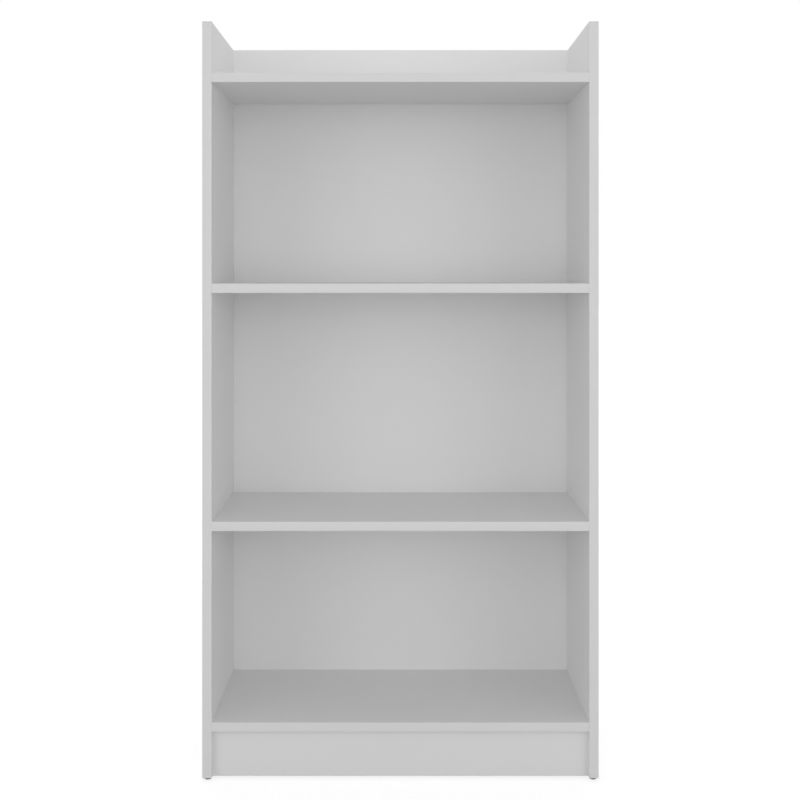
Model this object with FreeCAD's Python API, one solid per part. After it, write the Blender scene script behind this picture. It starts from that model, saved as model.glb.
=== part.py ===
import FreeCAD, Part
import math
import os
from dataclasses import dataclass

# An open bookcase in white melamine-faced board. Two sides stand above the top panel, with a rail
# between them at the back. Two fixed shelves, a bottom panel over a set-back plinth and a hardboard
# back in grooves make up the rest. Cam locks and dowels join the boards, so that it packs flat.
# Lengths are millimetres. X runs to the right, Y to the back and Z up, from the floor under the
# middle of the case.

# Boards
BOARD = 15.0                    # thickness of the sides, shelves, panels, rail and plinth
EDGING = 1.0                    # thickness of the plastic band on the edges that show
EDGING_RADIUS = 0.7             # scraped corners of that band
EDGING_CORNER_MOST_SHARE = 0.9  # of the band's thickness, the most that its corners may take
BACK_SHEET = 3.0                # thickness of the hardboard back

# Case
CASE_WIDTH = 626.0              # over the sides
CASE_DEPTH = 290.0              # from the front bands to the rear edges of the sides
PLINTH_HEIGHT = 73.0            # from the lower ends of the sides to the bottom panel
LOWER_BAY = 302.0               # clear height above the bottom panel
MIDDLE_BAY = 361.0              # clear height above the lower shelf
UPPER_BAY = 318.0               # clear height above the upper shelf
GALLERY = 81.0                  # height of the sides and the rail above the top panel
PLINTH_SETBACK = 10.0           # from the front of the case to the plinth's face

# Back
BACK_SETBACK = 7.0              # from the rear edges of the sides to the back
GROOVE_DEPTH = 5.0              # of the grooves in the sides and under the top panel
GROOVE_PLAY = 0.2               # each side of the sheet in its groove
GROOVE_END_PLAY = 0.8           # from the sheet's edge to the bottom of the groove

# Rows of fittings
FIRST_ROW = 37.0                # from the front or rear edge of a lying board to its cam lock
PITCH = 32.0                    # from a cam lock to the dowel beside it
BORE_PLAY = 0.1                 # all round a fitting in its bore
END_PLAY = 1.0                  # past the end of a fitting in a blind bore
OVERRUN = 1.0                   # how far a cutting tool runs outside the board

# Dowels
DOWEL_DIAMETER = 8.0
DOWEL_LENGTH = 30.0
DOWEL_IN_FACE = 10.0            # the part in a board's face; the rest is in a board's edge
DOWEL_CHAMFER = 1.0
PLINTH_DOWEL_SPACING = 300.0    # between the two dowels that stand on the plinth

# Cam locks
CAM_DIAMETER = 14.8
CAM_FROM_END = 24.0             # from the end of the board to the cam's axis
CAM_FLOOR = 2.5                 # board left under the cam's bore
CAM_SUNK = 0.3                  # from the face of the board down to the face of the cam
CAM_OFFSET = 0.6                # from the cam's axis to the middle of its hollow
CAM_HEAD_PLAY = 0.4             # round the bolt's head in the hollow, and its neck in the slot
CAM_SLOT_TURN = 110.0           # degrees from the way in of the bolt's head to the locked place
CROSS_LENGTH = 6.5              # cross recess for the screwdriver
CROSS_WIDTH = 1.6
CROSS_DEPTH = 2.2

# Cam bolts
THREAD_DIAMETER = 5.0
THREAD_LENGTH = 10.0            # screwed into the side
COLLAR_DIAMETER = 7.4
COLLAR_LENGTH = 2.5
SHAFT_DIAMETER = 6.0
NECK_DIAMETER = 3.8
NECK_RUN = 1.0                  # neck between the shaft and the cam
HEAD_DIAMETER = 6.0
HEAD_LENGTH = 3.0
HEAD_CHAMFER = 0.8
TIP_SHORT = 1.0                 # from the bolt's tip to the cam's axis

# Caps over the cam locks that show
CAP_DIAMETER = 17.0
CAP_THICKNESS = 0.9
CAP_RADIUS = 0.6
PLUG_PLAY = 0.15                # round the cap's plug in the cam's cross recess

# Screws in the back
SHELF_SCREWS = 3
BOTTOM_SCREWS = 4
SCREW_DIAMETER = 3.0
SCREW_LENGTH = 16.0             # under the head
SCREW_POINT = 2.5
SCREW_HEAD_DIAMETER = 7.0
SCREW_CROWN_DIAMETER = 4.6      # flat of the head
SCREW_HEAD_HEIGHT = 2.2
SCREW_RIM = 0.8                 # straight part of the head
SCREW_CROSS_LENGTH = 3.6
SCREW_CROSS_WIDTH = 0.9
SCREW_CROSS_DEPTH = 1.4

# Glides under the sides
GLIDE_DIAMETER = 12.0
GLIDE_HEIGHT = 5.0
GLIDE_ROUNDING = 2.0
GLIDE_INSET = 12.5              # from the front or rear of the side to the glide's axis
NAIL_DIAMETER = 2.0
NAIL_REACH = 12.0               # into the side
NAIL_POINT = 2.0
NAIL_HEAD_DIAMETER = 4.4
NAIL_HEAD_HEIGHT = 0.8
NAIL_HEAD_SUNK = 0.7            # from the floor up to the nail's head

FULL_TURN = 360.0
SAME = 1e-6                     # lengths closer than this are the same
CENTRE = FreeCAD.Vector(0, 0, 0)
RIGHT = FreeCAD.Vector(1, 0, 0)
BACKWARD = FreeCAD.Vector(0, 1, 0)
UP = FreeCAD.Vector(0, 0, 1)
ENDS = {"left": -1, "right": 1}

# Places that follow from the sizes
INSIDE = CASE_WIDTH / 2 - BOARD     # from the middle to the inner face of a side
FRONT = -CASE_DEPTH / 2
REAR = CASE_DEPTH / 2
BACK_REAR = REAR - BACK_SETBACK
BACK_FRONT = BACK_REAR - BACK_SHEET
GROOVE = (BACK_FRONT - GROOVE_PLAY, BACK_REAR + GROOVE_PLAY)
SIDE_LOW = GLIDE_HEIGHT
BOTTOM_PANEL_LOW = SIDE_LOW + PLINTH_HEIGHT
LOWER_SHELF_LOW = BOTTOM_PANEL_LOW + BOARD + LOWER_BAY
UPPER_SHELF_LOW = LOWER_SHELF_LOW + BOARD + MIDDLE_BAY
TOP_PANEL_LOW = UPPER_SHELF_LOW + BOARD + UPPER_BAY
TOP_PANEL_HIGH = TOP_PANEL_LOW + BOARD
SIDE_HIGH = TOP_PANEL_HIGH + GALLERY
PLINTH_FRONT = FRONT + PLINTH_SETBACK
GLIDE_ROWS = {"front": FRONT + GLIDE_INSET, "rear": REAR - GLIDE_INSET}


def block(x, y, z):
    """A block from its low and high places along X, Y and Z."""
    return Part.makeBox(x[1] - x[0], y[1] - y[0], z[1] - z[0], FreeCAD.Vector(x[0], y[0], z[0]))


def bore(mouth, way, diameter, depth):
    """The tool of a round hole: it starts outside its mouth and ends at depth along way."""
    return Part.makeCylinder(diameter / 2, depth + OVERRUN, mouth - way * OVERRUN, way)


def fitted(diameter):
    """The diameter of the bore that takes a round fitting."""
    return diameter + 2 * BORE_PLAY


def turned(start, way, steps):
    """A turned piece from start along way; a step is a length and the diameters at its two ends."""
    outline = [CENTRE]
    along = 0
    for length, first, last in steps:
        outline.append(FreeCAD.Vector(first / 2, 0, along))
        along += length
        outline.append(FreeCAD.Vector(last / 2, 0, along))
    outline.append(FreeCAD.Vector(0, 0, along))
    corners = [outline[0]]
    corners += [now for before, now in zip(outline, outline[1:]) if not now.isEqual(before, SAME)]
    piece = Part.Face(Part.makePolygon(corners, True)).revolve(CENTRE, UP, FULL_TURN)
    piece.Placement = FreeCAD.Placement(start, FreeCAD.Rotation(UP, way))
    return piece


def placed(shape, place, toward, face):
    """A copy of a shape with its zero at place, its X turned to toward and its Z to face."""
    copy = shape.copy()
    copy.Placement = FreeCAD.Placement(place, FreeCAD.Rotation(toward, face.cross(toward), face, "ZXY"))
    return copy


def cross(length, width, low, high):
    """The two crossed blocks of a screwdriver recess, or of the plug that fits it, about Z."""
    long = (-length / 2, length / 2)
    wide = (-width / 2, width / 2)
    return block(long, wide, (low, high)).fuse(block(wide, long, (low, high)))


def edge_band(x, y, z, outward):
    """A band for a board's edge, with its two long corners on the outward face scraped round."""
    strip = block(x, y, z)
    face = max(strip.Faces, key=lambda candidate: candidate.CenterOfMass.dot(outward))
    longest = max(edge.Length for edge in face.Edges)
    corners = [edge for edge in face.Edges if edge.Length > longest - SAME]
    return strip.makeFillet(min(EDGING_RADIUS, EDGING * EDGING_CORNER_MOST_SHARE), corners)


@dataclass
class Board:
    """A board that spans from side to side, with a band on one edge.

    Its core and its band each have a reach in Y and in Z. The cams and dowels are given as their
    places in Y and Z on the ends of the board, and cam_face is the way that its cam locks look.
    """

    core: tuple
    band: tuple
    band_face: FreeCAD.Vector
    cam_face: FreeCAD.Vector
    cams: list
    dowels: list


def lying_board(low, rear, cam_face):
    """A shelf or panel, with its band in front and a cam lock and a dowel near each end corner."""
    z = (low, low + BOARD)
    middle = low + BOARD / 2
    first = FRONT + FIRST_ROW
    last = rear - FIRST_ROW
    core = ((FRONT + EDGING, rear), z)
    band = ((FRONT, FRONT + EDGING), z)
    cams = [(first, middle), (last, middle)]
    dowels = [(first + PITCH, middle), (last - PITCH, middle)]
    return Board(core, band, -BACKWARD, cam_face, cams, dowels)


def standing_board(front, core_z, band_z, band_face):
    """The rail or the plinth: a board on edge, with a cam lock under a dowel at each end."""
    y = (front, front + BOARD)
    across = front + BOARD / 2
    middle = (min(core_z + band_z) + max(core_z + band_z)) / 2
    cams = [(across, middle - PITCH / 2)]
    dowels = [(across, middle + PITCH / 2)]
    return Board((y, core_z), (y, band_z), band_face, BACKWARD, cams, dowels)


RAIL_EDGE = SIDE_HIGH - EDGING
PLINTH_EDGE = SIDE_LOW + EDGING
BOARDS = {
    "top_panel": lying_board(TOP_PANEL_LOW, REAR, UP),
    "upper_shelf": lying_board(UPPER_SHELF_LOW, BACK_FRONT, -UP),
    "lower_shelf": lying_board(LOWER_SHELF_LOW, BACK_FRONT, -UP),
    "bottom_panel": lying_board(BOTTOM_PANEL_LOW, BACK_FRONT, -UP),
    "top_rail": standing_board(REAR - BOARD, (TOP_PANEL_HIGH, RAIL_EDGE), (RAIL_EDGE, SIDE_HIGH), UP),
    "plinth": standing_board(PLINTH_FRONT, (PLINTH_EDGE, BOTTOM_PANEL_LOW), (SIDE_LOW, PLINTH_EDGE), -UP),
}


def joints(board, places):
    """Each end and place of a board's fittings: the way out of the board, and the point on its end."""
    for end in ENDS.values():
        for y, z in places:
            yield RIGHT * end, FreeCAD.Vector(end * INSIDE, y, z)


def cam_axis(board, out, point):
    """Where a cam's axis meets the face of its board."""
    return point - out * CAM_FROM_END + board.cam_face * (BOARD / 2)


def cam_lock():
    """A cam lock about Z, with the board's face at zero and its bolt coming in from positive X.

    The bolt's head goes in through the round way in. As the cam turns, the narrow slot passes along
    the bolt's neck and the wall of the hollow, which stands off the axis, draws the head in.
    """
    bottom = CAM_FLOOR - BOARD
    level = FreeCAD.Vector(0, 0, -BOARD / 2)
    head_back = TIP_SHORT + HEAD_LENGTH
    hollow_radius = math.hypot(head_back - CAM_OFFSET, HEAD_DIAMETER / 2) + CAM_HEAD_PLAY
    head_room = HEAD_DIAMETER + 2 * CAM_HEAD_PLAY
    neck_room = NECK_DIAMETER + 2 * CAM_HEAD_PLAY
    reach = CAM_DIAMETER / 2 + OVERRUN
    open_way = FreeCAD.Rotation(UP, -CAM_SLOT_TURN).multVec(RIGHT)
    body = Part.makeCylinder(CAM_DIAMETER / 2, -CAM_SUNK - bottom, UP * bottom)
    hollow = Part.makeCylinder(hollow_radius, head_room, level + RIGHT * CAM_OFFSET - UP * (head_room / 2))
    way_in = Part.makeCylinder(head_room / 2, reach, level, open_way)
    locked = Part.makeCylinder(neck_room / 2, reach, level, RIGHT)
    slot = Part.makeCylinder(reach, neck_room, level - UP * (neck_room / 2), UP, CAM_SLOT_TURN)
    slot.rotate(CENTRE, UP, -CAM_SLOT_TURN)
    recess = cross(CROSS_LENGTH, CROSS_WIDTH, -CAM_SUNK - CROSS_DEPTH, OVERRUN)
    return body.cut([hollow, way_in, locked, slot, recess])


def cam_bolt(out, point):
    """A cam bolt: screwed into the side, it crosses the joint and ends in the head that the cam holds."""
    neck_start = CAM_FROM_END - CAM_DIAMETER / 2 - NECK_RUN
    head_start = CAM_FROM_END - TIP_SHORT - HEAD_LENGTH
    return turned(point + out * THREAD_LENGTH, -out, [
        (THREAD_LENGTH, THREAD_DIAMETER, THREAD_DIAMETER),
        (COLLAR_LENGTH, COLLAR_DIAMETER, COLLAR_DIAMETER),
        (neck_start - COLLAR_LENGTH, SHAFT_DIAMETER, SHAFT_DIAMETER),
        (head_start - neck_start, NECK_DIAMETER, NECK_DIAMETER),
        (HEAD_LENGTH - HEAD_CHAMFER, HEAD_DIAMETER, HEAD_DIAMETER),
        (HEAD_CHAMFER, HEAD_DIAMETER, HEAD_DIAMETER - 2 * HEAD_CHAMFER),
    ])


def cam_cap():
    """A press-in cap in the frame of its cam: a thin disc on the board, with a plug in the cross."""
    disc = Part.makeCylinder(CAP_DIAMETER / 2, CAP_THICKNESS)
    rim = [edge for edge in disc.Edges if edge.Closed and edge.CenterOfMass.z > CAP_THICKNESS / 2]
    crown = disc.makeFillet(min(CAP_RADIUS, CAP_THICKNESS * EDGING_CORNER_MOST_SHARE), rim)
    plug = cross(CROSS_LENGTH - 2 * PLUG_PLAY, CROSS_WIDTH - 2 * PLUG_PLAY, -CAM_SUNK - CROSS_DEPTH / 2, 0)
    return crown.fuse(plug).removeSplitter()


def dowel(out, point):
    """A beech dowel across a joint, with chamfered ends; out points into the board's face."""
    narrow = DOWEL_DIAMETER - 2 * DOWEL_CHAMFER
    return turned(point + out * DOWEL_IN_FACE, -out, [
        (DOWEL_CHAMFER, narrow, DOWEL_DIAMETER),
        (DOWEL_LENGTH - 2 * DOWEL_CHAMFER, DOWEL_DIAMETER, DOWEL_DIAMETER),
        (DOWEL_CHAMFER, DOWEL_DIAMETER, narrow),
    ])


def dowel_bores(out, point):
    """The tools of a dowel's two bores: in the face that it stands in, and in the other board's edge."""
    diameter = fitted(DOWEL_DIAMETER)
    in_face = bore(point, out, diameter, DOWEL_IN_FACE + END_PLAY)
    in_edge = bore(point, -out, diameter, DOWEL_LENGTH - DOWEL_IN_FACE + END_PLAY)
    return in_face, in_edge


def board_core(board, more_tools):
    """A board between the sides, bored for its own fittings and cut by more tools."""
    tools = list(more_tools)
    for out, point in joints(board, board.cams):
        tools.append(bore(point, -out, fitted(COLLAR_DIAMETER), CAM_FROM_END))
        tools.append(bore(cam_axis(board, out, point), -board.cam_face, fitted(CAM_DIAMETER), BOARD - CAM_FLOOR))
    for out, point in joints(board, board.dowels):
        tools.append(dowel_bores(out, point)[1])
    return block((-INSIDE, INSIDE), *board.core).cut(tools)


def side_panel(end):
    """A side, grooved for the back and bored for the fittings of every board and for its glides."""
    x = sorted((end * INSIDE, end * CASE_WIDTH / 2))
    groove_floor = end * (INSIDE + GROOVE_DEPTH)
    groove_x = sorted((end * (INSIDE - OVERRUN), groove_floor))
    tools = [block(groove_x, GROOVE, (SIDE_LOW - OVERRUN, TOP_PANEL_LOW + GROOVE_DEPTH))]
    for board in BOARDS.values():
        for out, point in joints(board, board.cams):
            tools.append(bore(point, out, fitted(THREAD_DIAMETER), THREAD_LENGTH + END_PLAY))
        for out, point in joints(board, board.dowels):
            tools.append(dowel_bores(out, point)[0])
    for place in glide_places(end):
        tools.append(bore(place + UP * SIDE_LOW, UP, fitted(NAIL_DIAMETER), NAIL_REACH + END_PLAY))
    return block(x, (FRONT + EDGING, REAR), (SIDE_LOW, SIDE_HIGH - EDGING)).cut(tools)


def side_bands(end):
    """The bands of a side: one up its whole front, and one along its top behind that."""
    x = sorted((end * INSIDE, end * CASE_WIDTH / 2))
    front = edge_band(x, (FRONT, FRONT + EDGING), (SIDE_LOW, SIDE_HIGH), -BACKWARD)
    top = edge_band(x, (FRONT + EDGING, REAR), (SIDE_HIGH - EDGING, SIDE_HIGH), UP)
    return front, top


def screw_places(low, count):
    """Where the screws of one shelf or panel go through the rear face of the back, evenly spread."""
    spacing = 2 * INSIDE / count
    for number in range(count):
        x = (number - (count - 1) / 2) * spacing
        yield FreeCAD.Vector(x, BACK_REAR, low + BOARD / 2)


def screw_bores(places):
    """The tools of the screws' bores, through the back and on into the boards in front of it."""
    return [bore(place, -BACKWARD, fitted(SCREW_DIAMETER), SCREW_LENGTH + END_PLAY) for place in places]


def back_screw(place):
    """A pan-head screw with its head on the rear face of the back and a cross recess in its crown."""
    crown = place + BACKWARD * SCREW_HEAD_HEIGHT
    body = turned(crown, -BACKWARD, [
        (SCREW_HEAD_HEIGHT - SCREW_RIM, SCREW_CROWN_DIAMETER, SCREW_HEAD_DIAMETER),
        (SCREW_RIM, SCREW_HEAD_DIAMETER, SCREW_HEAD_DIAMETER),
        (SCREW_LENGTH - SCREW_POINT, SCREW_DIAMETER, SCREW_DIAMETER),
        (SCREW_POINT, SCREW_DIAMETER, 0),
    ])
    recess = cross(SCREW_CROSS_LENGTH, SCREW_CROSS_WIDTH, -SCREW_CROSS_DEPTH, OVERRUN)
    return body.cut(placed(recess, crown, RIGHT, BACKWARD))


def back_panel(bores):
    """The hardboard back, loose in the grooves at its sides and top and screwed on below."""
    half_width = INSIDE + GROOVE_DEPTH - GROOVE_END_PLAY
    high = TOP_PANEL_LOW + GROOVE_DEPTH - GROOVE_END_PLAY
    return block((-half_width, half_width), (BACK_FRONT, BACK_REAR), (BOTTOM_PANEL_LOW, high)).cut(bores)


def glide_places(end):
    """The points on the floor under the two glides of a side."""
    x = end * (INSIDE + BOARD / 2)
    return [FreeCAD.Vector(x, y, 0) for y in GLIDE_ROWS.values()]


def glide(place):
    """A plastic glide: a button with a rounded lower edge, stepped inside for its nail."""
    button = Part.makeCylinder(GLIDE_DIAMETER / 2, GLIDE_HEIGHT, place)
    foot = [edge for edge in button.Edges if edge.Closed and edge.CenterOfMass.z < GLIDE_HEIGHT / 2]
    rounded = button.makeFillet(GLIDE_ROUNDING, foot)
    head_bore = bore(place, UP, fitted(NAIL_HEAD_DIAMETER), NAIL_HEAD_SUNK + NAIL_HEAD_HEIGHT)
    shank_bore = bore(place, UP, fitted(NAIL_DIAMETER), GLIDE_HEIGHT + OVERRUN)
    return rounded.cut([head_bore, shank_bore])


def glide_nail(place):
    """The nail that holds a glide: its head lies on the step inside and its point is in the side."""
    shank = GLIDE_HEIGHT + NAIL_REACH - NAIL_HEAD_SUNK - NAIL_HEAD_HEIGHT
    return turned(place + UP * NAIL_HEAD_SUNK, UP, [
        (NAIL_HEAD_HEIGHT, NAIL_HEAD_DIAMETER, NAIL_HEAD_DIAMETER),
        (shank - NAIL_POINT, NAIL_DIAMETER, NAIL_DIAMETER),
        (NAIL_POINT, NAIL_DIAMETER, 0),
    ])


# Cuts that only some of the boards have
screws = {
    "upper_shelf": list(screw_places(UPPER_SHELF_LOW, SHELF_SCREWS)),
    "lower_shelf": list(screw_places(LOWER_SHELF_LOW, SHELF_SCREWS)),
    "bottom_panel": list(screw_places(BOTTOM_PANEL_LOW, BOTTOM_SCREWS)),
}
all_screws = [place for places in screws.values() for place in places]
more_tools = {name: screw_bores(places) for name, places in screws.items()}
groove_z = (TOP_PANEL_LOW - OVERRUN, TOP_PANEL_LOW + GROOVE_DEPTH)
more_tools["top_panel"] = [block((-INSIDE - OVERRUN, INSIDE + OVERRUN), GROOVE, groove_z)]
more_tools["top_rail"] = []
more_tools["plinth"] = []
plinth_dowels = []
for half in ENDS.values():
    seat = FreeCAD.Vector(half * PLINTH_DOWEL_SPACING / 2, PLINTH_FRONT + BOARD / 2, BOTTOM_PANEL_LOW)
    in_panel, in_plinth = dowel_bores(UP, seat)
    more_tools["bottom_panel"].append(in_panel)
    more_tools["plinth"].append(in_plinth)
    plinth_dowels.append(dowel(UP, seat))

# Every piece under its name
pieces = {"back_panel": back_panel(screw_bores(all_screws))}
pieces["back_panel_screws"] = Part.makeCompound([back_screw(place) for place in all_screws])
for side, end in ENDS.items():
    pieces[f"{side}_side_panel"] = side_panel(end)
    pieces[f"{side}_side_front_edging"], pieces[f"{side}_side_top_edging"] = side_bands(end)
    for row, place in zip(GLIDE_ROWS, glide_places(end)):
        pieces[f"{row}_{side}_glide"] = glide(place)
pieces["glide_nails"] = Part.makeCompound(
    [glide_nail(place) for end in ENDS.values() for place in glide_places(end)])

lock = cam_lock()
for name, board in BOARDS.items():
    pieces[name] = board_core(board, more_tools[name])
    pieces[f"{name}_edging"] = edge_band((-INSIDE, INSIDE), *board.band, board.band_face)
    ends = list(joints(board, board.cams))
    pieces[f"{name}_cam_bolts"] = Part.makeCompound([cam_bolt(out, point) for out, point in ends])
    pieces[f"{name}_cam_locks"] = Part.makeCompound(
        [placed(lock, cam_axis(board, out, point), out, board.cam_face) for out, point in ends])
    pegs = [dowel(out, point) for out, point in joints(board, board.dowels)]
    if name == "plinth":
        pegs += plinth_dowels
    pieces[f"{name}_dowels"] = Part.makeCompound(pegs)

top_panel = BOARDS["top_panel"]
cap = cam_cap()
pieces["top_panel_cam_caps"] = Part.makeCompound(
    [placed(cap, cam_axis(top_panel, out, point), out, UP) for out, point in joints(top_panel, top_panel.cams)])

os.makedirs("parts", exist_ok=True)
for name, shape in pieces.items():
    shape.exportStep(f"parts/{name}.step")
    print(name, len(shape.Solids), "solids", round(shape.Volume), "mm3", "valid" if shape.isValid() else "NOT VALID")
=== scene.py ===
import math

import bpy
import numpy as np
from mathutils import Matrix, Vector


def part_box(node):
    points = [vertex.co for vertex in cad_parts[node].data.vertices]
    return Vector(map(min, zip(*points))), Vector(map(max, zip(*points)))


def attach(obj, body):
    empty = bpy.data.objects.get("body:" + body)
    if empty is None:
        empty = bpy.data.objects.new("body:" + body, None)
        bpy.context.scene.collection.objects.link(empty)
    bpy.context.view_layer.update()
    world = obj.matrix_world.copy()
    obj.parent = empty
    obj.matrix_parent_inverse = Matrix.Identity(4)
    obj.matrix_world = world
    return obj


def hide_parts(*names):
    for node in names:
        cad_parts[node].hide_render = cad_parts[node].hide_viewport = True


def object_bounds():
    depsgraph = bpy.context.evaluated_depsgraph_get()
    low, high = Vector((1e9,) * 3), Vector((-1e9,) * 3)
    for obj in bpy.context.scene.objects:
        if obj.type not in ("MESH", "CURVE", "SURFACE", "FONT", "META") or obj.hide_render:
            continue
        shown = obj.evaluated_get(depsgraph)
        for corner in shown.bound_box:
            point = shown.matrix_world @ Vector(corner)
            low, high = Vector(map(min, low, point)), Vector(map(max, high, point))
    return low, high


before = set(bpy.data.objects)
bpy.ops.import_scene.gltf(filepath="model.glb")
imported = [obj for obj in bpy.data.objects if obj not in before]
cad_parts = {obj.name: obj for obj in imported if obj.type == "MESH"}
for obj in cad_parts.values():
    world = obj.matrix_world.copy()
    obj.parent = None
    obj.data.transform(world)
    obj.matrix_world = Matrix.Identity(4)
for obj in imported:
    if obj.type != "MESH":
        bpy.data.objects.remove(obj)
cad_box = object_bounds()

# Side panels
# Two upright boards of chipboard, faced on both sides with white melamine paper, that carry the rest.
# Their rear edges and lower ends are sawn and left bare, and a groove near the rear takes the back.

WHITE = (0.82, 0.82, 0.82)
THIN_WHITE = (0.805, 0.805, 0.805)  # where the paper lets the board under it show a little
PATCH_SIZE = 0.09                   # of those places
PAPER = 0.00016                     # thickness of the melamine paper
PAPER_ROUGHNESS = (0.58, 0.66)
PEARL_SIZE = 0.00045                # grain of the plate that the paper was pressed against
PEARL_HEIGHT = 0.000012
CHIP_SIZE = 0.0024                  # chips in the middle of the board
FINE_CHIP_SIZE = 0.0009             # finer chips under the faces
FINE_LAYER = (0.0022, 0.0034)       # depth at which the fine chips give way to the coarse ones
CHIP_FLATNESS = 3.0                 # chips lie flat: so many times longer than thick
CHIP_BENDS = 0.7                    # bends in the length of a chip
BEND_DETAIL = 1.0
CHIP_GAP = 0.12                     # from a chip's edge to its full height, as a share of its size
CHIP_HEIGHT = 0.00012
CHIP_ROUGHNESS = 0.88
# Painted shade: each chip darkens towards its edge, in the sunken gaps between chips.
GAP_SHADE = 0.45                    # how light a chip still is at its edge
CHIP_COLOURS = [
    (0.0, (0.19, 0.105, 0.05, 1.0)),
    (0.35, (0.36, 0.225, 0.115, 1.0)),
    (0.75, (0.52, 0.36, 0.20, 1.0)),
    (1.0, (0.66, 0.50, 0.31, 1.0)),
]
NOISE_DETAIL = 2.0                  # finer layers in a random pattern, where a finish names no other


class Wire:
    """A socket of a node tree. Sums of Wires and numbers add the Math nodes that work them out."""

    def __init__(self, socket):
        self.socket = socket

    def node(self, kind, inputs, output=0, **settings):
        """Adds a node to this tree: its settings first, then the values or Wires of its sockets."""
        made = self.socket.id_data.nodes.new(kind)
        stops = settings.pop("stops", [])
        for name, value in settings.items():
            setattr(made, name, value)
        for position, _ in stops[2:]:
            made.color_ramp.elements.new(position)
        for number, (position, colour) in enumerate(stops):
            made.color_ramp.elements[number].position = position
            made.color_ramp.elements[number].color = colour
        connect(made, inputs)
        return Wire(made.outputs[output])

    def math(self, operation, first, second=0.0):
        """The result of a Math node's operation on two values."""
        return self.node("ShaderNodeMath", {0: first, 1: second}, operation=operation)

    def __add__(self, other):
        return self.math("ADD", self, other)

    def __sub__(self, other):
        return self.math("SUBTRACT", self, other)

    def __rsub__(self, other):
        return self.math("SUBTRACT", other, self)

    def __mul__(self, other):
        return self.math("MULTIPLY", self, other)

    def __gt__(self, other):
        return self.math("GREATER_THAN", self, other)

    def __abs__(self):
        return self.math("ABSOLUTE", self)

    __radd__ = __add__
    __rmul__ = __mul__

    def span(self, low, high):
        """Low where this value is 0, high where it is 1, and a straight run between them."""
        return low + self * (high - low)

    def mix(self, off, on):
        """The colour off where this value is 0 and on where it is 1, by the sockets for colours."""
        return self.node("ShaderNodeMix", {0: self, 6: opaque(off), 7: opaque(on)}, 2, data_type="RGBA")

    def between(self, low, high):
        """0 up to low, 1 from high on, and a straight run between them."""
        return self.node("ShaderNodeMapRange", {"Value": self, "From Min": low, "From Max": high})


def connect(node, inputs):
    """Gives a node's sockets their values, or the Wires that lead to them."""
    for name, value in inputs.items():
        if isinstance(value, Wire):
            node.id_data.links.new(value.socket, node.inputs[name])
        else:
            node.inputs[name].default_value = value


def opaque(colour):
    """A colour with its alpha, or the Wire that stands for one."""
    return colour if isinstance(colour, Wire) else (*colour, 1.0)


def new_finish(name):
    """A new material, with its shader and a Wire to the place of a point in the piece's own space."""
    material = bpy.data.materials.new(name)
    material.use_nodes = True
    nodes = material.node_tree.nodes
    return material, nodes["Principled BSDF"], Wire(nodes.new("ShaderNodeTexCoord").outputs["Object"])


def coordinate(place, axis):
    """One coordinate of a place: 0, 1 or 2 for X, Y or Z."""
    return place.node("ShaderNodeSeparateXYZ", {"Vector": place}, axis)


def stretched(place, factors):
    """A place with each of its coordinates multiplied."""
    return place.node("ShaderNodeVectorMath", {0: place, 1: factors}, operation="MULTIPLY")


def noise(place, size, detail=NOISE_DETAIL, output=0):
    """Soft random values about 0.5, in lumps of a size in metres."""
    inputs = {"Vector": place, "Scale": 1 / size, "Detail": detail}
    return place.node("ShaderNodeTexNoise", inputs, output)


def bumped(height):
    """The normal of a surface with this height, in metres."""
    return height.node("ShaderNodeBump", {"Height": height, "Distance": 1.0, "Strength": 1.0})


def chips(place, across, size):
    """Chips of wood pressed flat: each one's random shade, and its height from 0 at its edge to 1."""
    factors = np.ones(3)
    factors[across] = CHIP_FLATNESS
    bend = stretched(noise(place, size / CHIP_BENDS, BEND_DETAIL, "Color"), (size, size, size))
    bent = place.node("ShaderNodeVectorMath", {0: place, 1: bend}, operation="ADD")
    inputs = {"Vector": stretched(bent, factors), "Scale": 1 / size}
    colour = place.node("ShaderNodeTexVoronoi", inputs, "Color")
    edge = place.node("ShaderNodeTexVoronoi", inputs, feature="DISTANCE_TO_EDGE")
    return place.node("ShaderNodeSeparateColor", {"Color": colour}), edge.between(0.0, CHIP_GAP)


def layered(material, depth, thickness, outer, inner):
    """Shows the outer of a material's two shaders as deep as it is thick, and the inner one below."""
    surface = depth.node("ShaderNodeMixShader", {0: depth > thickness, 1: outer, 2: inner})
    connect(material.node_tree.nodes["Material Output"], {"Surface": surface})


def faced_chipboard(node, thin_white=THIN_WHITE, white=WHITE):
    """Melamine-faced chipboard, told from how deep a point lies under the nearer face of its board.

    White paper comes first, then fine chips and, in the middle, coarse ones. So sawn edges, grooves and
    bores show the layers of the board wherever they cut it.
    """
    low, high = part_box(node)
    across = int(np.argmin(high - low))
    middle = (low[across] + high[across]) / 2
    material, paper, place = new_finish(node + "_faced_chipboard")
    depth = high[across] - middle - abs(coordinate(place, across) - middle)
    patches = noise(place, PATCH_SIZE)
    connect(paper, {
        "Base Color": patches.mix(thin_white, white),
        "Roughness": patches.span(*PAPER_ROUGHNESS),
        "Normal": bumped(noise(place, PEARL_SIZE) * PEARL_HEIGHT),
    })
    fine, fine_height = chips(place, across, FINE_CHIP_SIZE)
    coarse, coarse_height = chips(place, across, CHIP_SIZE)
    core = depth.between(*FINE_LAYER)
    height = core.span(fine_height * (FINE_CHIP_SIZE / CHIP_SIZE), coarse_height)
    # Each chip's own random tone, with painted shade towards its edge in the gaps between chips.
    shade = core.span(fine, coarse) * height.span(GAP_SHADE, 1.0)
    wood = place.node("ShaderNodeBsdfPrincipled", {
        "Base Color": place.node("ShaderNodeValToRGB", {"Fac": shade}, stops=CHIP_COLOURS),
        "Roughness": CHIP_ROUGHNESS,
        "Normal": bumped(height * CHIP_HEIGHT),
    })
    layered(material, depth, PAPER, Wire(paper.outputs[0]), wood)
    return material


def paint(node, material):
    """Gives a CAD node its finish."""
    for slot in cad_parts[node].material_slots:
        slot.material = material


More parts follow.
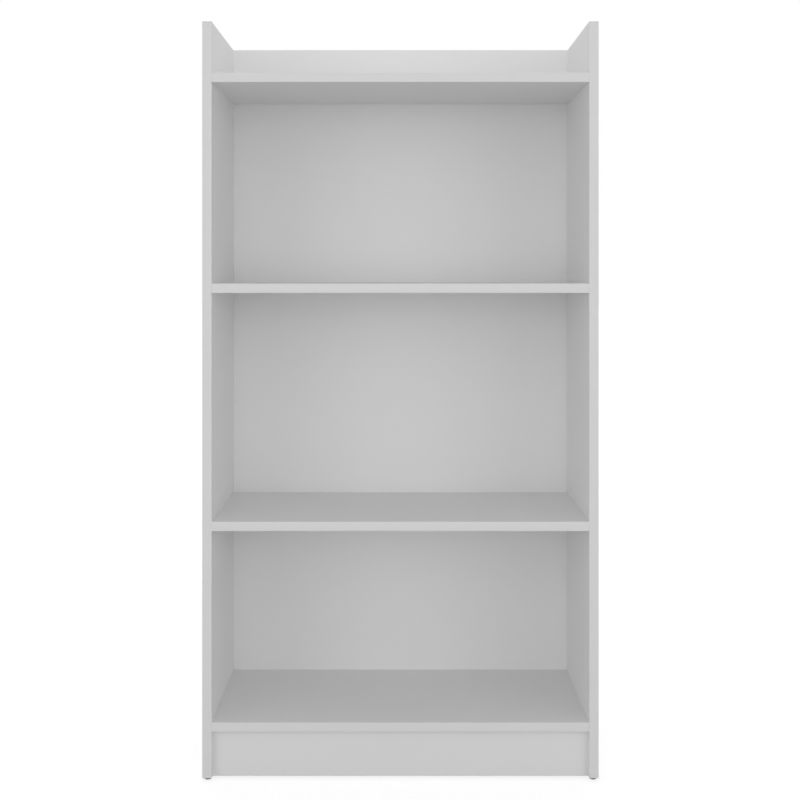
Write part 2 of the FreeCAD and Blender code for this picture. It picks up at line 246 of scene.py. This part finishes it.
for side in ("left_side_panel", "right_side_panel"):
    paint(side, faced_chipboard(side))

# Top panel, shelves and bottom panel
# Boards of the same faced chipboard between the sides, held by cam locks and dowels in their ends.
# The top panel is grooved underneath for the back, and the others stop in front of it.

LYING_BOARDS = ("top_panel", "upper_shelf", "lower_shelf", "bottom_panel")

for board in LYING_BOARDS:
    paint(board, faced_chipboard(board))

# Rail and plinth
# Two narrow boards on edge between the sides. The rail closes the tray on the top panel at the back.
# The plinth stands back from the front and carries the bottom panel's middle; its greyer white is
# painted shade.

# Painted shade: a greyer white for the plinth's paper, where it stands back under the bottom panel.
PLINTH_SHADED_WHITE = (0.745, 0.745, 0.745)
PLINTH_SHADED_THIN_WHITE = (0.73, 0.73, 0.73)

paint("top_rail", faced_chipboard("top_rail"))
paint("plinth", faced_chipboard("plinth", PLINTH_SHADED_THIN_WHITE, PLINTH_SHADED_WHITE))

# Edge bands
# Strips of white plastic glued to the edges that show, with both of their long corners scraped round.
# Each side has one up its front and one along its top, and each board between the sides has one.

# Painted shade: a darker white than the boards' paper, which darkens the front edges against the
# insides.
BAND_SHADED_WHITE = (0.705, 0.705, 0.705)
BAND_ROUGHNESS = (0.36, 0.44)
BAND_RADIUS = 0.0007
BAND_END = 0.0003                   # how much thinner a band is filed at its ends, and over what length
STREAK_LENGTH = 0.06                # of the streaks that the scraper leaves
STREAK_WIDTH = 0.0006
STREAK_HEIGHT = 0.000002
CORNER_STEPS = 6
SHARP = math.radians(35)            # faces that meet at more than this angle keep a crisp edge
FORWARD = np.array([0.0, -1.0, 0.0])
UPWARD = np.array([0.0, 0.0, 1.0])
BANDS = {                           # the way that each one looks
    "left_side_front": FORWARD,
    "right_side_front": FORWARD,
    "left_side_top": UPWARD,
    "right_side_top": UPWARD,
    "top_panel": FORWARD,
    "upper_shelf": FORWARD,
    "lower_shelf": FORWARD,
    "bottom_panel": FORWARD,
    "top_rail": UPWARD,
    "plinth": -UPWARD,
}


def add_piece(name, rings, finish, node, closed=False):
    """Adds copies of a piece skinned over rings, an array of copies, rings, points and X, Y, Z.

    Each ring turns right-handed about the way to the next one, and quads join the two. A closed path
    joins its last ring to its first, and an open one has a face over each end.
    """
    number = np.arange(rings[..., 0].size).reshape(rings.shape[:3])
    here = number if closed else number[:, :-1]
    there = np.roll(number, -1, axis=1) if closed else number[:, 1:]
    quads = np.stack([here, np.roll(here, -1, 2), np.roll(there, -1, 2), there], axis=-1)
    ends = [] if closed else np.concatenate([number[:, 0, ::-1], number[:, -1]]).tolist()
    mesh = bpy.data.meshes.new(name)
    mesh.from_pydata(rings.reshape(-1, 3).tolist(), [], quads.reshape(-1, 4).tolist() + ends)
    mesh.shade_smooth()
    mesh.set_sharp_from_angle(angle=SHARP)
    mesh.materials.append(finish)
    piece = bpy.data.objects.new(name, mesh)
    bpy.context.scene.collection.objects.link(piece)
    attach(piece, "root")
    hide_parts(node)
    return mesh


def quarter_turn(steps):
    """Angles from zero to a right angle, in even steps."""
    return np.linspace(0, math.pi / 2, steps + 1)


def edge_band(node, outward):
    """The rings of a band that lies in the box of a node and looks outward.

    Its section is a rectangle whose two outer corners are quarter circles. It is carried straight along
    the longest side of the box, at full thickness but for the two ends.
    """
    low, high = np.array(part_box(node))
    along = np.eye(3)[np.argmax(high - low)]
    across = np.cross(outward, along)
    width, thickness, length = (abs((high - low) @ way) for way in (across, outward, along))
    turn = quarter_turn(CORNER_STEPS)
    arc = BAND_RADIUS * np.stack([np.cos(turn) - 1, np.sin(turn) - 1], axis=1) + (width / 2, thickness)
    section = np.concatenate([[(-width / 2, 0), (width / 2, 0)], arc, arc[::-1] * (-1, 1)])
    distance = np.array([0, BAND_END, length - BAND_END, length])[:, None, None]
    fullness = 1 - np.array([BAND_END, 0, 0, BAND_END])[:, None, None] / thickness
    start = (low + high - outward * thickness - along * length) / 2
    return start + section[:, :1] * across + fullness * section[:, 1:] * outward + distance * along


def band_plastic(name, along):
    """White plastic, a painted shade darker than the boards' paper, with faint streaks along one axis,
    from the scraper.
    """
    material, shader, place = new_finish(name)
    factors = np.ones(3)
    factors[along] = STREAK_WIDTH / STREAK_LENGTH
    streaks = noise(stretched(place, factors), STREAK_WIDTH)
    connect(shader, {
        "Base Color": opaque(BAND_SHADED_WHITE),
        "Roughness": streaks.span(*BAND_ROUGHNESS),
        "Normal": bumped(streaks * STREAK_HEIGHT),
    })
    return material


band_finishes = [band_plastic(f"shaded_band_along_{axis}", number) for number, axis in enumerate("xyz")]
for edge, outward in BANDS.items():
    node = edge + "_edging"
    low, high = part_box(node)
    finish = band_finishes[int(np.argmax(high - low))]
    add_piece(edge + "_band", edge_band(node, outward)[None], finish, node)

# Glides
# Round feet of grey plastic under the front and rear of each side. Each is moulded with a rounded foot
# and a stepped hole, and a nail through the hole holds it.

GLIDE_GREY = (0.20, 0.20, 0.20)
GLIDE_LIGHT_GREY = (0.26, 0.26, 0.26)
GLIDE_ROUGHNESS = (0.42, 0.58)
GLIDE_GRAIN = 0.0006
GLIDE_GRAIN_HEIGHT = 0.00001
GLIDE_ROUNDING = 0.002
NAIL_HEAD_BORE = 0.0023             # radius of the wide part of the hole
NAIL_BORE = 0.0011                  # radius of the narrow part
NAIL_STEP = 0.0015                  # from the floor up to the step in the hole
AROUND = 64                         # points round a turned piece
ANGLES = np.arange(AROUND) * (2 * math.pi / AROUND)


def turned(along, radius):
    """Rings of a turned piece about Z: each ring stands its distance along, at its radius.

    A radius may also change round the ring, as a table of rings and points.
    """
    radius = np.broadcast_to(np.array(radius).reshape(len(along), -1), (len(along), AROUND))
    height = np.broadcast_to(np.array(along)[:, None], radius.shape)
    return np.stack([radius * np.cos(ANGLES), radius * np.sin(ANGLES), height], axis=-1)


def placed(rings, axis, places):
    """Copies of rings turned about Z, with Z laid along an axis and zero at each of the places."""
    side = np.roll(np.abs(axis), 1)
    frame_of_axis = np.stack([side, np.cross(axis, side), axis])
    return np.array(places)[:, None, None] + rings @ frame_of_axis


def grained_plastic(name, dark, light, roughness, size, height):
    """Moulded plastic with a fine random grain."""
    material, shader, place = new_finish(name)
    grain = noise(place, size)
    connect(shader, {
        "Base Color": grain.mix(dark, light),
        "Roughness": grain.span(*roughness),
        "Normal": bumped(grain * height),
    })
    return material


def glide(diameter, tall):
    """A glide from its top down: its wall, a quarter circle to the foot, and up the stepped hole."""
    turn = quarter_turn(CORNER_STEPS)
    foot_along = tall - GLIDE_ROUNDING * (1 - np.sin(turn))
    foot_radius = diameter / 2 - GLIDE_ROUNDING * (1 - np.cos(turn))
    step = tall - NAIL_STEP
    along = np.concatenate([[0], foot_along, [tall, step, step, 0]])
    hole = [NAIL_HEAD_BORE, NAIL_HEAD_BORE, NAIL_BORE, NAIL_BORE]
    return turned(along, np.concatenate([[diameter / 2], foot_radius, hole]))


glide_finish = grained_plastic(
    "grey_plastic", GLIDE_GREY, GLIDE_LIGHT_GREY, GLIDE_ROUGHNESS, GLIDE_GRAIN, GLIDE_GRAIN_HEIGHT)
feet = []
for corner in ("front_left", "front_right", "rear_left", "rear_right"):
    low, high = np.array(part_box(corner + "_glide"))
    diameter, _, tall = high - low
    feet.append((low + high - UPWARD * tall) / 2)
    rings = placed(glide(diameter, tall), -UPWARD, [feet[-1] + UPWARD * tall])
    add_piece(corner + "_foot", rings, glide_finish, corner + "_glide", closed=True)

# Glide nails
# Steel nails with flat round heads, one driven up through each glide into the lower end of a side.
# The head lies on the step in the glide's hole.

STEEL = (0.56, 0.56, 0.57)
DULL_STEEL = (0.42, 0.41, 0.40)
STEEL_ROUGHNESS = (0.44, 0.26)      # in the dull patches and in the bright ones
STEEL_PATCH = 0.0016
NAIL_HEAD_RADIUS = 0.0022
NAIL_HEAD_EDGE = 0.0002             # rounding of the head's edge
NAIL_HEAD = 0.0008                  # thickness of the head
NAIL_RADIUS = 0.001
NAIL_POINT = 0.002
POINT_RADIUS = 0.00005


def plated_steel():
    """Zinc-plated steel, a little duller in patches."""
    material, shader, place = new_finish("plated_steel")
    patches = noise(place, STEEL_PATCH)
    connect(shader, {
        "Base Color": patches.mix(DULL_STEEL, STEEL),
        "Metallic": 1.0,
        "Roughness": patches.span(*STEEL_ROUGHNESS),
    })
    return material


nail_low, nail_high = np.array(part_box("glide_nails"))
nail_length = nail_high[2] - nail_low[2]
# Each row is a ring of the nail, from its head to its point: the distance along it and the radius.
nail_steps = np.array([
    (0, NAIL_HEAD_RADIUS - NAIL_HEAD_EDGE),
    (NAIL_HEAD_EDGE, NAIL_HEAD_RADIUS),
    (NAIL_HEAD, NAIL_HEAD_RADIUS),
    (NAIL_HEAD, NAIL_RADIUS),
    (nail_length - NAIL_POINT, NAIL_RADIUS),
    (nail_length, POINT_RADIUS),
])
nail_places = [foot + UPWARD * nail_low[2] for foot in feet]
nail_rings = placed(turned(*nail_steps.T), UPWARD, nail_places)
steel = plated_steel()
add_piece("nails", nail_rings, steel, "glide_nails")

# Dowels
# Fluted beech pegs glued into bores across the joints, which keep the boards in line. Two more stand on
# the plinth and locate the bottom panel.

BEECH = (0.56, 0.36, 0.21)
DARK_BEECH = (0.42, 0.24, 0.13)
BEECH_ROUGHNESS = 0.62
FLECK_SIZE = 0.0007
FLECK_LENGTH = 0.006
FLECK_HEIGHT = 0.00002
FLUTES = 16
FLUTE_DEPTH = 0.00035
DOWEL_DIAMETER = 0.008
DOWEL_LENGTH = 0.03
DOWEL_CHAMFER = 0.001
PLINTH_DOWEL_SPACING = 0.3          # between the two that stand on the plinth
JOINED_BOARDS = (*LYING_BOARDS, "top_rail", "plinth")
RIGHTWARD = np.array([1.0, 0.0, 0.0])
PLACE_DIGITS = 4                    # places in metres are rounded to a tenth of a millimetre


def corner_places(low, high, size):
    """The middles of like pieces of a size that fill the corners of a box, each given once.

    They are rounded, because the facets of a round piece miss its full width.
    """
    ends = np.array([low, high]) + np.outer([0.5, -0.5], size)
    picks = np.indices((2, 2, 2)).reshape(3, -1).T
    return np.unique(ends[picks, np.arange(3)].round(PLACE_DIGITS), axis=0)


def beech():
    """Beech, with short dark flecks that run along the peg."""
    material, shader, place = new_finish("beech")
    grain = place.node("ShaderNodeAttribute", {}, "Vector", attribute_name="grain")
    flecks = noise(stretched(grain, (1, 1, FLECK_SIZE / FLECK_LENGTH)), FLECK_SIZE)
    connect(shader, {
        "Base Color": flecks.mix(DARK_BEECH, BEECH),
        "Roughness": BEECH_ROUGHNESS,
        "Normal": bumped(flecks * FLECK_HEIGHT),
    })
    return material


# A peg's radius falls and rises round it as a cosine, once for each flute, and its ends are chamfered.
# Its grain is its own place about Z, moved on by a length from each peg to the next.
flute = FLUTE_DEPTH * (0.5 - 0.5 * np.cos(FLUTES * ANGLES))
half_peg = DOWEL_LENGTH / 2
peg_along = [-half_peg, DOWEL_CHAMFER - half_peg, half_peg - DOWEL_CHAMFER, half_peg]
peg_radius = DOWEL_DIAMETER / 2 - DOWEL_CHAMFER * np.array([1, 0, 0, 1])
peg = turned(peg_along, peg_radius[:, None] - flute)
lying_peg = (DOWEL_LENGTH, DOWEL_DIAMETER, DOWEL_DIAMETER)
beech_finish = beech()
for board in JOINED_BOARDS:
    low, high = np.array(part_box(board + "_dowels"))
    standing = np.zeros((0, *peg.shape))
    if board == "plinth":
        middle = (low[1] + high[1]) / 2
        half_spacing = PLINTH_DOWEL_SPACING / 2
        upright = [(x, middle, high[2] - half_peg) for x in (-half_spacing, half_spacing)]
        standing = placed(peg, UPWARD, upright)
        high[2] = low[2] + DOWEL_DIAMETER
    lying = placed(peg, RIGHTWARD, corner_places(low, high, lying_peg))
    rings = np.concatenate([lying, standing])
    mesh = add_piece(board + "_pegs", rings, beech_finish, board + "_dowels")
    grain = peg + DOWEL_LENGTH * np.arange(len(rings))[:, None, None, None]
    mesh.attributes.new("grain", "FLOAT_VECTOR", "POINT").data.foreach_set("vector", grain.ravel())

# Cam bolts
# Plated steel bolts screwed into the sides. A collar stops each one at the side's face, and its head
# reaches into the cam lock that draws the joint together.

BOLT_THREAD = 0.010                 # length of the thread
BOLT_CREST = 0.0025                 # radius over the thread
BOLT_ROOT = 0.0018
BOLT_PITCH = 0.0022
BOLT_TIP = 0.0012                   # radius of the tip
BOLT_TAPER = 0.002                  # length over which the tip widens to the root
COLLAR_RADIUS = 0.0037
COLLAR_LENGTH = 0.0025
COLLAR_EDGE = 0.0003
SHAFT_RADIUS = 0.003
SHAFT_END = 0.0256                  # from the bolt's tip
NECK_RADIUS = 0.0019
HEAD_START = 0.030
BOLT_LENGTH = 0.033
BOLT_HEAD_RADIUS = 0.003
BOLT_HEAD_CHAMFER = 0.0008
RINGS_PER_PITCH = 8


def threaded(length, pitch, tip, taper, root, crest):
    """Distances and radii of a threaded shank that starts at its tip.

    The root widens evenly over the taper. The ridge on it winds right-handed, a pitch for each turn. Its
    height is a triangle wave of the distance in pitches less the angle in turns, faded at both ends.
    """
    along = np.linspace(0, length, round(length / pitch * RINGS_PER_PITCH) + 1)
    core = np.interp(along, [0, taper], [tip, root])
    wave = 1 - 2 * np.abs((along[:, None] / pitch - ANGLES / (2 * math.pi)) % 1 - 0.5)
    fade = np.clip(np.minimum(along, length - along) / pitch, 0, 1)
    return along, core[:, None] + (crest - root) * fade[:, None] * wave


def all_round(radii):
    """A table of rings and points, in which each ring has one radius."""
    return np.repeat(np.array(radii)[:, None], AROUND, axis=1)


# The bolt is its thread, from the tip on, and then a row for each plain ring: its distance and radius.
thread_along, thread_radius = threaded(
    BOLT_THREAD, BOLT_PITCH, BOLT_TIP, BOLT_TAPER, BOLT_ROOT, BOLT_CREST)
collar_end = BOLT_THREAD + COLLAR_LENGTH
bolt_steps = np.array([
    (BOLT_THREAD, COLLAR_RADIUS - COLLAR_EDGE),
    (BOLT_THREAD + COLLAR_EDGE, COLLAR_RADIUS),
    (collar_end - COLLAR_EDGE, COLLAR_RADIUS),
    (collar_end, COLLAR_RADIUS - COLLAR_EDGE),
    (collar_end, SHAFT_RADIUS),
    (SHAFT_END, SHAFT_RADIUS),
    (SHAFT_END, NECK_RADIUS),
    (HEAD_START, NECK_RADIUS),
    (HEAD_START, BOLT_HEAD_RADIUS),
    (BOLT_LENGTH - BOLT_HEAD_CHAMFER, BOLT_HEAD_RADIUS),
    (BOLT_LENGTH, BOLT_HEAD_RADIUS - BOLT_HEAD_CHAMFER),
])
bolt = turned(
    np.concatenate([thread_along, bolt_steps[:, 0]]),
    np.concatenate([thread_radius, all_round(bolt_steps[:, 1])]))
bolt_size = (BOLT_LENGTH, 2 * COLLAR_RADIUS, 2 * COLLAR_RADIUS)
for board in JOINED_BOARDS:
    middles = corner_places(*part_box(board + "_cam_bolts"), bolt_size)
    ends = []
    for inward in (RIGHTWARD, -RIGHTWARD):
        at_this_end = middles[middles @ inward < 0]
        ends.append(placed(bolt, inward, at_this_end - inward * (BOLT_LENGTH / 2)))
    add_piece(board + "_bolts", np.concatenate(ends), steel, board + "_cam_bolts")

# Cam locks
# Round cams of die-cast zinc in bores in the boards between the sides. Turned with a screwdriver, each
# one draws in the head of its bolt.

ZINC = (0.50, 0.50, 0.51)
DARK_ZINC = (0.33, 0.33, 0.34)
ZINC_ROUGHNESS = (0.62, 0.44)       # in the dark patches and in the bright ones
ZINC_PATCH = 0.0022
CASTING_GRAIN = 0.0004
CASTING_HEIGHT = 0.00001


def cast_zinc():
    """Zinc as it comes from the die, darker in patches and finely grained."""
    material, shader, place = new_finish("cast_zinc")
    patches = noise(place, ZINC_PATCH)
    connect(shader, {
        "Base Color": patches.mix(DARK_ZINC, ZINC),
        "Metallic": 1.0,
        "Roughness": patches.span(*ZINC_ROUGHNESS),
        "Normal": bumped(noise(place, CASTING_GRAIN) * CASTING_HEIGHT),
    })
    return material


zinc = cast_zinc()
for board in JOINED_BOARDS:
    paint(board + "_cam_locks", zinc)

# Caps
# Thin white plastic discs that hide the top panel's cam locks, the only ones in an upper face.
# A cross-shaped plug under each disc presses into the screwdriver recess of the cam.

CAP_WHITE = (0.79, 0.79, 0.79)
CAP_THIN_WHITE = (0.77, 0.77, 0.77)
CAP_ROUGHNESS = (0.34, 0.42)
CAP_GRAIN = 0.0005
CAP_GRAIN_HEIGHT = 0.000004
CAP_DIAMETER = 0.017
CAP_RIM = 0.0005                    # height of the rim, below the crown
PLUG_LENGTH = 0.0062
PLUG_WIDTH = 0.0013
CROWN_STEPS = 8


def cross_outline(length, width):
    """The radius of an upright cross at each angle: the farther of its two bars, each a rectangle.

    A rectangle's radius is the nearer of its end, half the length over the cosine, and its side, half
    the width over the sine.
    """
    level = np.maximum(np.abs(np.cos(ANGLES)), np.finfo(float).tiny)
    upright = np.maximum(np.abs(np.sin(ANGLES)), np.finfo(float).tiny)
    bars = [np.minimum(length / level, width / upright), np.minimum(width / level, length / upright)]
    return np.maximum(*bars) / 2


def crown(radius, low, high):
    """Distances and radii of a crown: a quarter ellipse from the rim at low to the middle at high."""
    turn = quarter_turn(CROWN_STEPS)
    return low + (high - low) * np.sin(turn), np.maximum(radius * np.cos(turn), POINT_RADIUS)


# A cap is a straight cross from the end of its plug to the disc, then the disc's rim and its crown.
cap_low, cap_high = np.array(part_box("top_panel_cam_caps"))
board_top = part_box("top_panel")[1].z
crown_along, crown_radius = crown(CAP_DIAMETER / 2, CAP_RIM, cap_high[2] - board_top)
plug = cross_outline(PLUG_LENGTH, PLUG_WIDTH)
cap = turned(
    np.concatenate([[cap_low[2] - board_top, 0, 0], crown_along]),
    np.concatenate([[plug, plug], all_round([CAP_DIAMETER / 2, *crown_radius])]))
cap_places = corner_places(cap_low, cap_high, (CAP_DIAMETER, CAP_DIAMETER, cap_high[2] - cap_low[2]))
cap_places[:, 2] = board_top
cap_finish = grained_plastic(
    "white_cap_plastic", CAP_THIN_WHITE, CAP_WHITE, CAP_ROUGHNESS, CAP_GRAIN, CAP_GRAIN_HEIGHT)
add_piece("cam_caps", placed(cap, UPWARD, cap_places), cap_finish, "top_panel_cam_caps")

# Back
# One sheet of hardboard with white lacquer in front. Its rear is bare brown felted wood, printed by the
# wire screen that it was pressed on. It slides in grooves in the sides and the top panel, and screws
# hold it to the shelves and the bottom panel.

LACQUER = 0.0002                    # thickness of the lacquer
LACQUER_WHITE = (0.775, 0.775, 0.775)
THIN_LACQUER_WHITE = (0.76, 0.76, 0.76)
LACQUER_ROUGHNESS = (0.38, 0.46)
PEEL_SIZE = 0.0015                  # orange peel of the sprayed lacquer
PEEL_HEIGHT = 0.000005
SCREEN_PITCH = 0.0016
SCREEN_HEIGHT = 0.00008
FIBRE_SIZE = 0.0011
FIBRE_LENGTH = 3.0                  # fibres run down the sheet: so many times longer than wide
FIBRE_DETAIL = 4.0
FIBRE_HEIGHT = 0.00005
FIBRE_SHARES = (0.55, 0.2, 0.25)    # of the fibres, the screen and the patches in the brown
FIBRE_CONTRAST = (0.3, 0.75)        # the sums of those shares that are darkest and lightest
HARDBOARD_ROUGHNESS = 0.8
HARDBOARD_DARK = (0.16, 0.085, 0.042)
HARDBOARD_LIGHT = (0.32, 0.19, 0.105)


def waves(place, pitch, axis):
    """Ridges a pitch apart along one axis, as a sine from 0 to 1."""
    turn = coordinate(place, axis) * (2 * math.pi / pitch)
    return turn.math("SINE", turn).span(0.5, 1.0)


def lacquered_hardboard(node):
    """Hardboard told from the depth under its front face: lacquer, and then brown fibre to the rear."""
    material, lacquer, place = new_finish("lacquered_hardboard")
    depth = coordinate(place, 1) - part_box(node)[0].y
    patches = noise(place, PATCH_SIZE)
    connect(lacquer, {
        "Base Color": patches.mix(THIN_LACQUER_WHITE, LACQUER_WHITE),
        "Roughness": patches.span(*LACQUER_ROUGHNESS),
        "Normal": bumped(noise(place, PEEL_SIZE) * PEEL_HEIGHT),
    })
    fibres = noise(stretched(place, (1, 1, 1 / FIBRE_LENGTH)), FIBRE_SIZE, FIBRE_DETAIL)
    screen = waves(place, SCREEN_PITCH, 0) * waves(place, SCREEN_PITCH, 2)
    tone = sum(part * share for part, share in zip((fibres, screen, patches), FIBRE_SHARES))
    brown = place.node("ShaderNodeBsdfPrincipled", {
        "Base Color": tone.between(*FIBRE_CONTRAST).mix(HARDBOARD_DARK, HARDBOARD_LIGHT),
        "Roughness": HARDBOARD_ROUGHNESS,
        "Normal": bumped(screen * SCREEN_HEIGHT + fibres * FIBRE_HEIGHT),
    })
    layered(material, depth, LACQUER, Wire(lacquer.outputs[0]), brown)
    return material


paint("back_panel", lacquered_hardboard("back_panel"))

# Back screws
# Pan-head steel screws with a cross recess. They go through the back into the rear edges of the shelves
# and the bottom panel, three in each shelf and four in the bottom panel.

SCREW_ROWS = {"upper_shelf": 3, "lower_shelf": 3, "bottom_panel": 4}
SCREW_HEAD = 0.0022                 # height of the head
SCREW_HEAD_RADIUS = 0.0035
SCREW_RIM = 0.0008                  # straight part of the head
SCREW_FLAT = 0.0022                 # radius of the flat round the recess
SCREW_RECESS = 0.0014               # depth of the recess
RECESS_LENGTH = 0.0036
RECESS_WIDTH = 0.0009
RECESS_TAPER = 0.55                 # size of the recess at its floor, as a share of that at its mouth
SCREW_LENGTH = 0.016                # under the head
SCREW_PITCH = 0.0013
SCREW_CREST = 0.0015
SCREW_ROOT = 0.00105
SCREW_POINT = 0.0025

# A screw comes up out of its recess, goes over the flat and a quarter ellipse to the rim of its head,
# and then down a threaded shank. The shank is made from its tip, so its rings and points are reversed.
recess = cross_outline(RECESS_LENGTH, RECESS_WIDTH)
dome = quarter_turn(CROWN_STEPS)
dome_along = (SCREW_HEAD - SCREW_RIM) * (1 - np.cos(dome))
dome_radius = SCREW_FLAT + (SCREW_HEAD_RADIUS - SCREW_FLAT) * np.sin(dome)
shank_along, shank_radius = threaded(
    SCREW_LENGTH, SCREW_PITCH, POINT_RADIUS, SCREW_POINT, SCREW_ROOT, SCREW_CREST)
shank_along = SCREW_HEAD + SCREW_LENGTH - shank_along
head_radius = all_round([*dome_radius, SCREW_HEAD_RADIUS])
screw = turned(
    np.concatenate([[SCREW_RECESS, 0], dome_along, [SCREW_HEAD], shank_along[::-1]]),
    np.concatenate([[recess * RECESS_TAPER, recess], head_radius, shank_radius[::-1, ::-1]]))
head_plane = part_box("back_panel")[1].y + SCREW_HEAD
screw_places = []
for board, count in SCREW_ROWS.items():
    low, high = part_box(board)
    across = low.x + (np.arange(count) + 0.5) / count * (high.x - low.x)
    screw_places += [(x, head_plane, (low.z + high.z) / 2) for x in across]
screw_rings = placed(screw, FORWARD, screw_places)
add_piece("back_screws", screw_rings, steel, "back_panel_screws")

# Floor
# A pale floor. The camera sees it white, with a soft shadow under and around the bookcase. The glow that
# makes it white is weaker near the bookcase, where the softboxes light the floor as well.

FLOOR_REACH = 30.0                  # from the middle to each edge
FLOOR_GREY = (0.62, 0.62, 0.62)
FLOOR_SEEN = (0.28, 0.28, 0.28)     # share of the light on the floor that the camera sees
FLOOR_GLOW = (0.81, 0.89)           # near the bookcase and far from it
LIT_REACH = (0.9, 3.5)              # distances at which the softboxes' light starts to fall off and ends


def picture_rays(tree):
    """1 for rays that show the picture, from the camera or by gloss or glass, and 0 for the rest."""
    kinds = ("Is Camera Ray", "Is Glossy Ray", "Is Transmission Ray")
    camera, gloss, glass = (tree.node("ShaderNodeLightPath", {}, kind) for kind in kinds)
    return tree.math("MAXIMUM", tree.math("MAXIMUM", camera, gloss), glass)


floor_mesh = bpy.data.meshes.new("floor")
corners = [(x * FLOOR_REACH, y * FLOOR_REACH, 0) for x, y in ((-1, -1), (1, -1), (1, 1), (-1, 1))]
floor_mesh.from_pydata(corners, [], [(0, 1, 2, 3)])
floor_finish, floor_shader, floor_place = new_finish("pale_floor")
seen = picture_rays(floor_place)
away = floor_place.node("ShaderNodeVectorMath", {0: floor_place}, "Value", operation="LENGTH")
near_glow, far_glow = ((glow, glow, glow) for glow in FLOOR_GLOW)
connect(floor_shader, {
    "Base Color": seen.mix(FLOOR_GREY, FLOOR_SEEN),
    "Roughness": 1.0,
    "Specular IOR Level": 0.0,
    "Emission Color": seen.mix((0, 0, 0), away.between(*LIT_REACH).mix(near_glow, far_glow)),
    "Emission Strength": 1.0,
})
floor_mesh.materials.append(floor_finish)
floor = bpy.data.objects.new("floor", floor_mesh)
bpy.context.scene.collection.objects.link(floor)

# Light
# A white room with large softboxes, far enough away to light the bookcase evenly: two above each other
# in front, two on each side of them, one overhead and two low ones behind.

ROOM_LIGHT = 0.52                   # on the bookcase. The camera sees the room at 1, which is white
SOFTBOX_AIM = Vector((0.0, 0.0, 0.7))
SOFTBOXES = {                       # place, width and height in metres, and power in watts
    "front_softbox": ((0.0, -4.75, 0.95), 1.1, 1.8, 16.0),
    "high_front_softbox": ((0.0, -4.5, 3.5), 2.0, 2.0, 13.5),
    "front_left_softbox": ((-2.6, -4.1, 1.3), 1.8, 2.4, 18.0),
    "front_right_softbox": ((2.6, -4.1, 1.3), 1.8, 2.4, 18.0),
    "left_softbox": ((-3.6, -3.0, 0.85), 2.0, 1.6, 15.5),
    "right_softbox": ((3.6, -3.0, 0.85), 2.0, 1.6, 15.5),
    "overhead_softbox": ((0.0, 0.2, 5.0), 1.4, 0.8, 31.0),
    "rear_left_softbox": ((-3.2, 3.6, 0.55), 2.0, 1.0, 28.0),
    "rear_right_softbox": ((3.2, 3.6, 0.55), 2.0, 1.0, 28.0),
}

for name, (place, width, height, power) in SOFTBOXES.items():
    lamp = bpy.data.lights.new(name, "AREA")
    lamp.shape = "RECTANGLE"
    lamp.size = width
    lamp.size_y = height
    lamp.energy = power
    holder = bpy.data.objects.new(name, lamp)
    holder.location = place
    holder.rotation_euler = (SOFTBOX_AIM - holder.location).to_track_quat("-Z", "Y").to_euler()
    holder.visible_camera = False
    bpy.context.scene.collection.objects.link(holder)

world = bpy.data.worlds.new("white_room")
world.use_nodes = True
bpy.context.scene.world = world
room = world.node_tree.nodes["Background"]
seen = picture_rays(Wire(room.outputs[0]))
connect(room, {"Color": (1, 1, 1, 1), "Strength": seen.span(ROOM_LIGHT, 1.0)})

# Camera
# Straight in front of the middle of the bookcase, level with the upper shelf. Its place follows from the
# photograph: where the sides, their foot and the vanishing point are, and how large the back is.

PHOTO = 800                         # width and height of the photograph in pixels
CASE_LEFT, CASE_RIGHT = 202.13, 598.73
SIDE_FOOT = 778.3
HORIZON = 271.5                     # height of the vanishing point
BACK_SCALE = 0.8825                 # of the back's front face, against the front of the case
SENSOR = 36.0                       # width in millimetres

front = cad_box[0][1]
pixel = (cad_box[1][0] - cad_box[0][0]) / (CASE_RIGHT - CASE_LEFT)  # its size at the front of the case
distance = (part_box("back_panel")[0].y - front) * BACK_SCALE / (1 - BACK_SCALE)
camera = bpy.data.cameras.new("photo_camera")
camera.sensor_width = SENSOR
camera.lens = SENSOR * distance / (PHOTO * pixel)
camera.shift_x = (PHOTO - CASE_LEFT - CASE_RIGHT) / (2 * PHOTO)
camera.shift_y = (HORIZON - PHOTO / 2) / PHOTO
viewer = bpy.data.objects.new("photo_camera", camera)
lower_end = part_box("left_side_panel")[0].z
viewer.location = (0, front - distance, lower_end + (SIDE_FOOT - HORIZON) * pixel)
viewer.rotation_euler = (math.pi / 2, 0, 0)
bpy.context.scene.collection.objects.link(viewer)
bpy.context.scene.camera = viewer
bpy.context.scene.view_settings.view_transform = "Standard"
